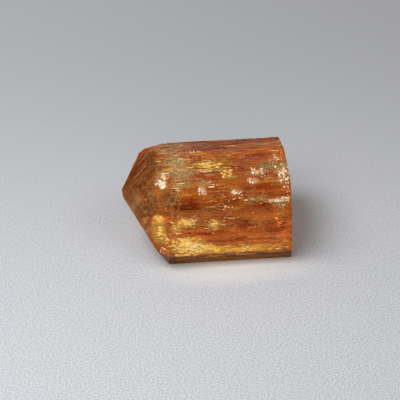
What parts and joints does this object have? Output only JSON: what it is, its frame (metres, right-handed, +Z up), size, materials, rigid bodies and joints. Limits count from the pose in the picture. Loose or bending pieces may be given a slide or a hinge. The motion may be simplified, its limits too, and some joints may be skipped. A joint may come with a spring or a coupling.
{
  "type": "imperial topaz crystal",
  "caption": "Loose orange-brown topaz prism lying on one long face: striated sides, a low point at one end, a flat cleavage break at the other, small chips along its edges.",
  "frame": {"origin": "centre of the bounding box at its base, on the plane of the face that the crystal lies on", "axes": "X along the crystal's long c axis, from the point at -X to the cleaved end at +X; Y from front to back; Z up"},
  "size_m": [0.018, 0.0136, 0.0093],
  "materials": {
    "topaz": "natural crystal faces, glassy with fine growth lines"
  },
  "bodies": {
    "root": {"crystal": "topaz"}
  },
  "joints": []
}
